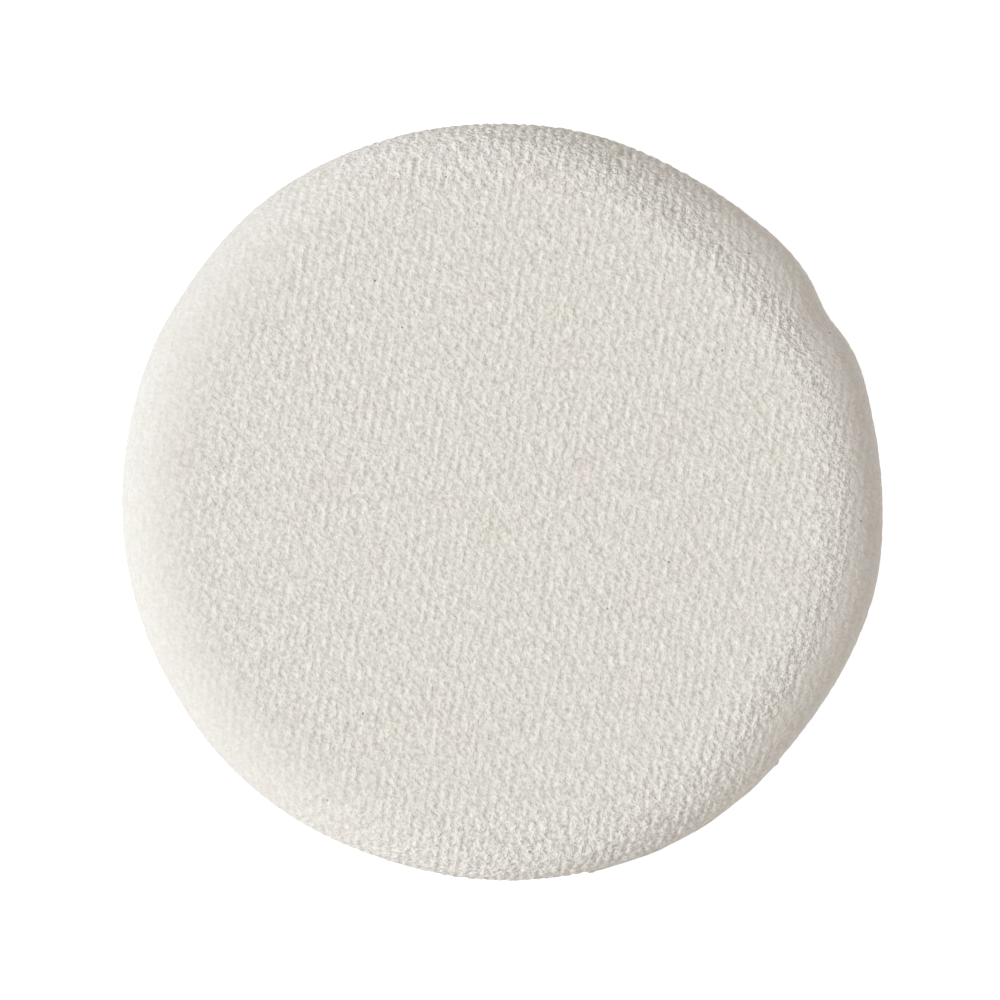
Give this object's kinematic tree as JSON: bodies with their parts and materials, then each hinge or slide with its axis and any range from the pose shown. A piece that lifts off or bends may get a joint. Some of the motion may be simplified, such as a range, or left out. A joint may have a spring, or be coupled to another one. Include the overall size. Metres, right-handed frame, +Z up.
{
  "type": "powder puff",
  "caption": "Round sewn powder puff: ribbed velour face and back over a sponge disc, with a satin finger ribbon across the back, its ends caught in the rim seam.",
  "frame": {"origin": "centre of the flat back, on the surface that the puff lies on", "axes": "+Z up through the puff, out of the powdering face; +X along the finger ribbon, towards the end that pinches the rim"},
  "size_m": [0.0649, 0.0654, 0.011],
  "materials": {
    "velour": "matte",
    "sponge": "matte",
    "satin": "satin",
    "thread": "satin"
  },
  "bodies": {
    "root": {"face_cloth": "velour", "back_cloth": "velour", "foam_core": "sponge", "finger_ribbon": "satin", "needle_thread": "thread", "bobbin_thread": "thread", "closing_thread": "thread"}
  },
  "joints": []
}
